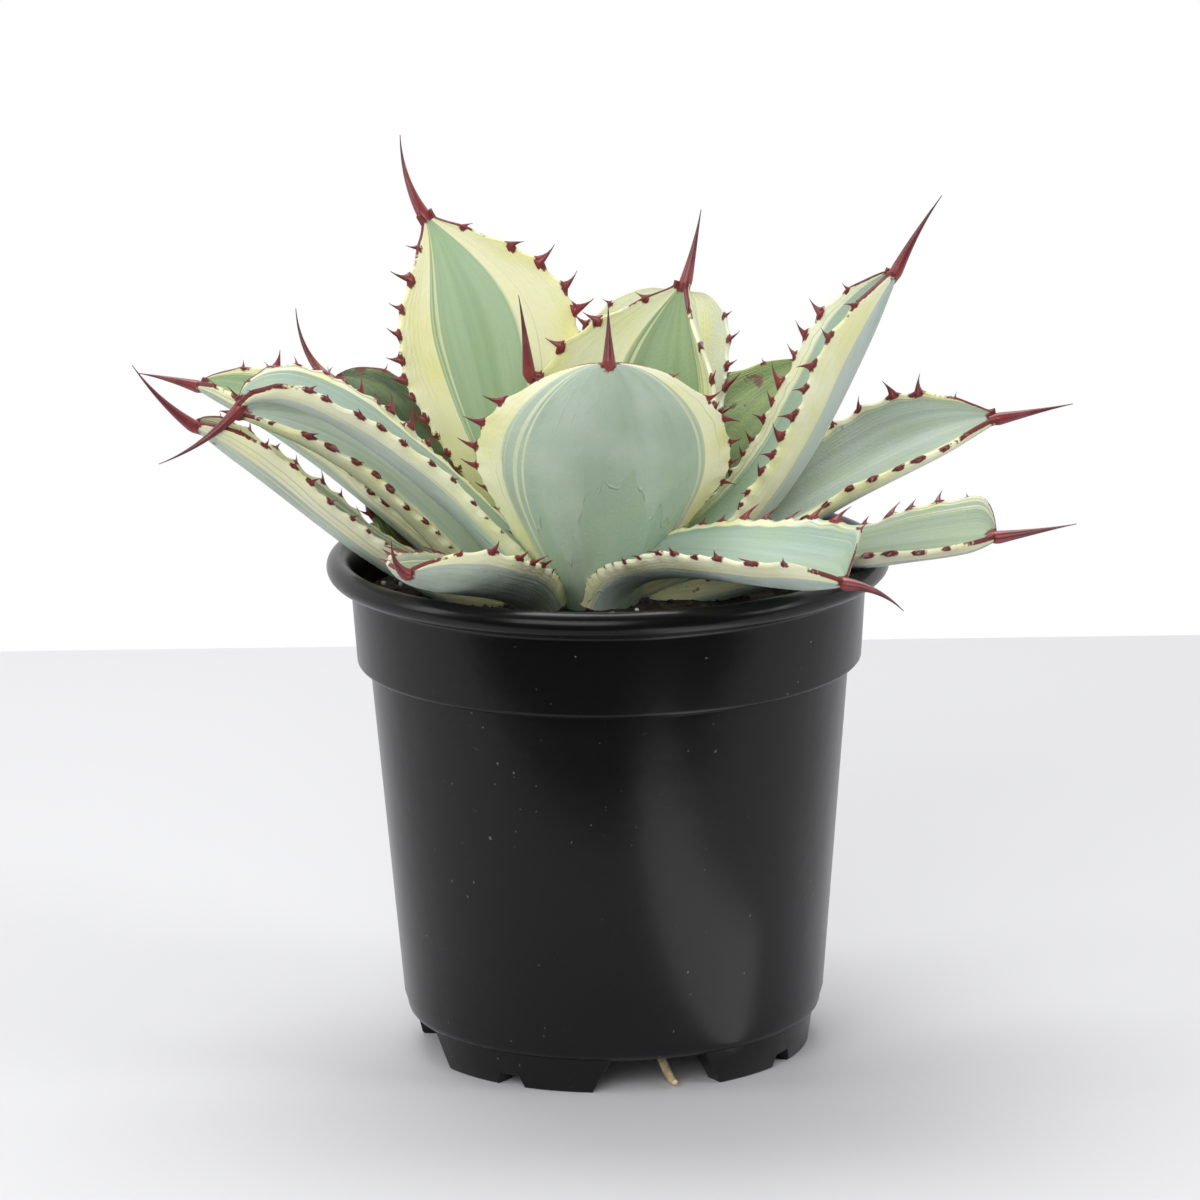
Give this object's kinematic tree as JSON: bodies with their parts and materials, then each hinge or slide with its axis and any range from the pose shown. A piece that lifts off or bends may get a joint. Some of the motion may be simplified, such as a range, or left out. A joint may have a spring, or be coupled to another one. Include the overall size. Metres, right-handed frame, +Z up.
{
  "type": "potted agave plant",
  "caption": "Variegated agave rosette with toothed, cream-edged, spine-tipped leaves, growing in soil in a round black plastic nursery pot with a rolled rim and a raised, drained foot.",
  "frame": {"origin": "middle of the bottom of the box around pot and plant, on the surface the pot stands on", "axes": "+Z up along the pot's axis, -Y towards the side the picture was taken from, +X to the right of it"},
  "size_m": [0.2764, 0.218, 0.2643],
  "materials": {
    "pot_plastic": "moulded black, semi-gloss, slightly dusty",
    "potting_mix": "dark crumbly peat mix",
    "perlite": "matt white grain",
    "stem_tissue": "pale green and fibrous",
    "root_tissue": "pale tan, matt",
    "leaf": "waxy grey-green with cream margins and red-brown spines",
    "old_leaf": "dull dark green with brown scars and red-brown spines"
  },
  "bodies": {
    "root": {"leaf_back_low": "leaf", "leaf_back_low_left": "leaf", "leaf_back_low_right": "leaf", "leaf_back_old": "old_leaf", "leaf_back_pale": "leaf", "leaf_bud": "leaf", "leaf_front": "leaf", "leaf_front_left": "leaf", "leaf_front_right": "leaf", "leaf_left_far": "leaf", "leaf_left_low": "leaf", "leaf_left_old": "old_leaf", "leaf_left_under": "leaf", "leaf_left_upper": "leaf", "leaf_right_keel": "leaf", "leaf_right_low": "leaf", "leaf_right_middle": "leaf", "leaf_right_upright": "leaf", "leaf_tall_back": "leaf", "leaf_young": "leaf", "perlite_1": "perlite", "perlite_2": "perlite", "perlite_3": "perlite", "perlite_4": "perlite", "perlite_5": "perlite", "perlite_6": "perlite", "perlite_7": "perlite", "perlite_8": "perlite", "perlite_9": "perlite", "pot": "pot_plastic", "root": "root_tissue", "soil": "potting_mix", "stem": "stem_tissue"}
  },
  "joints": []
}
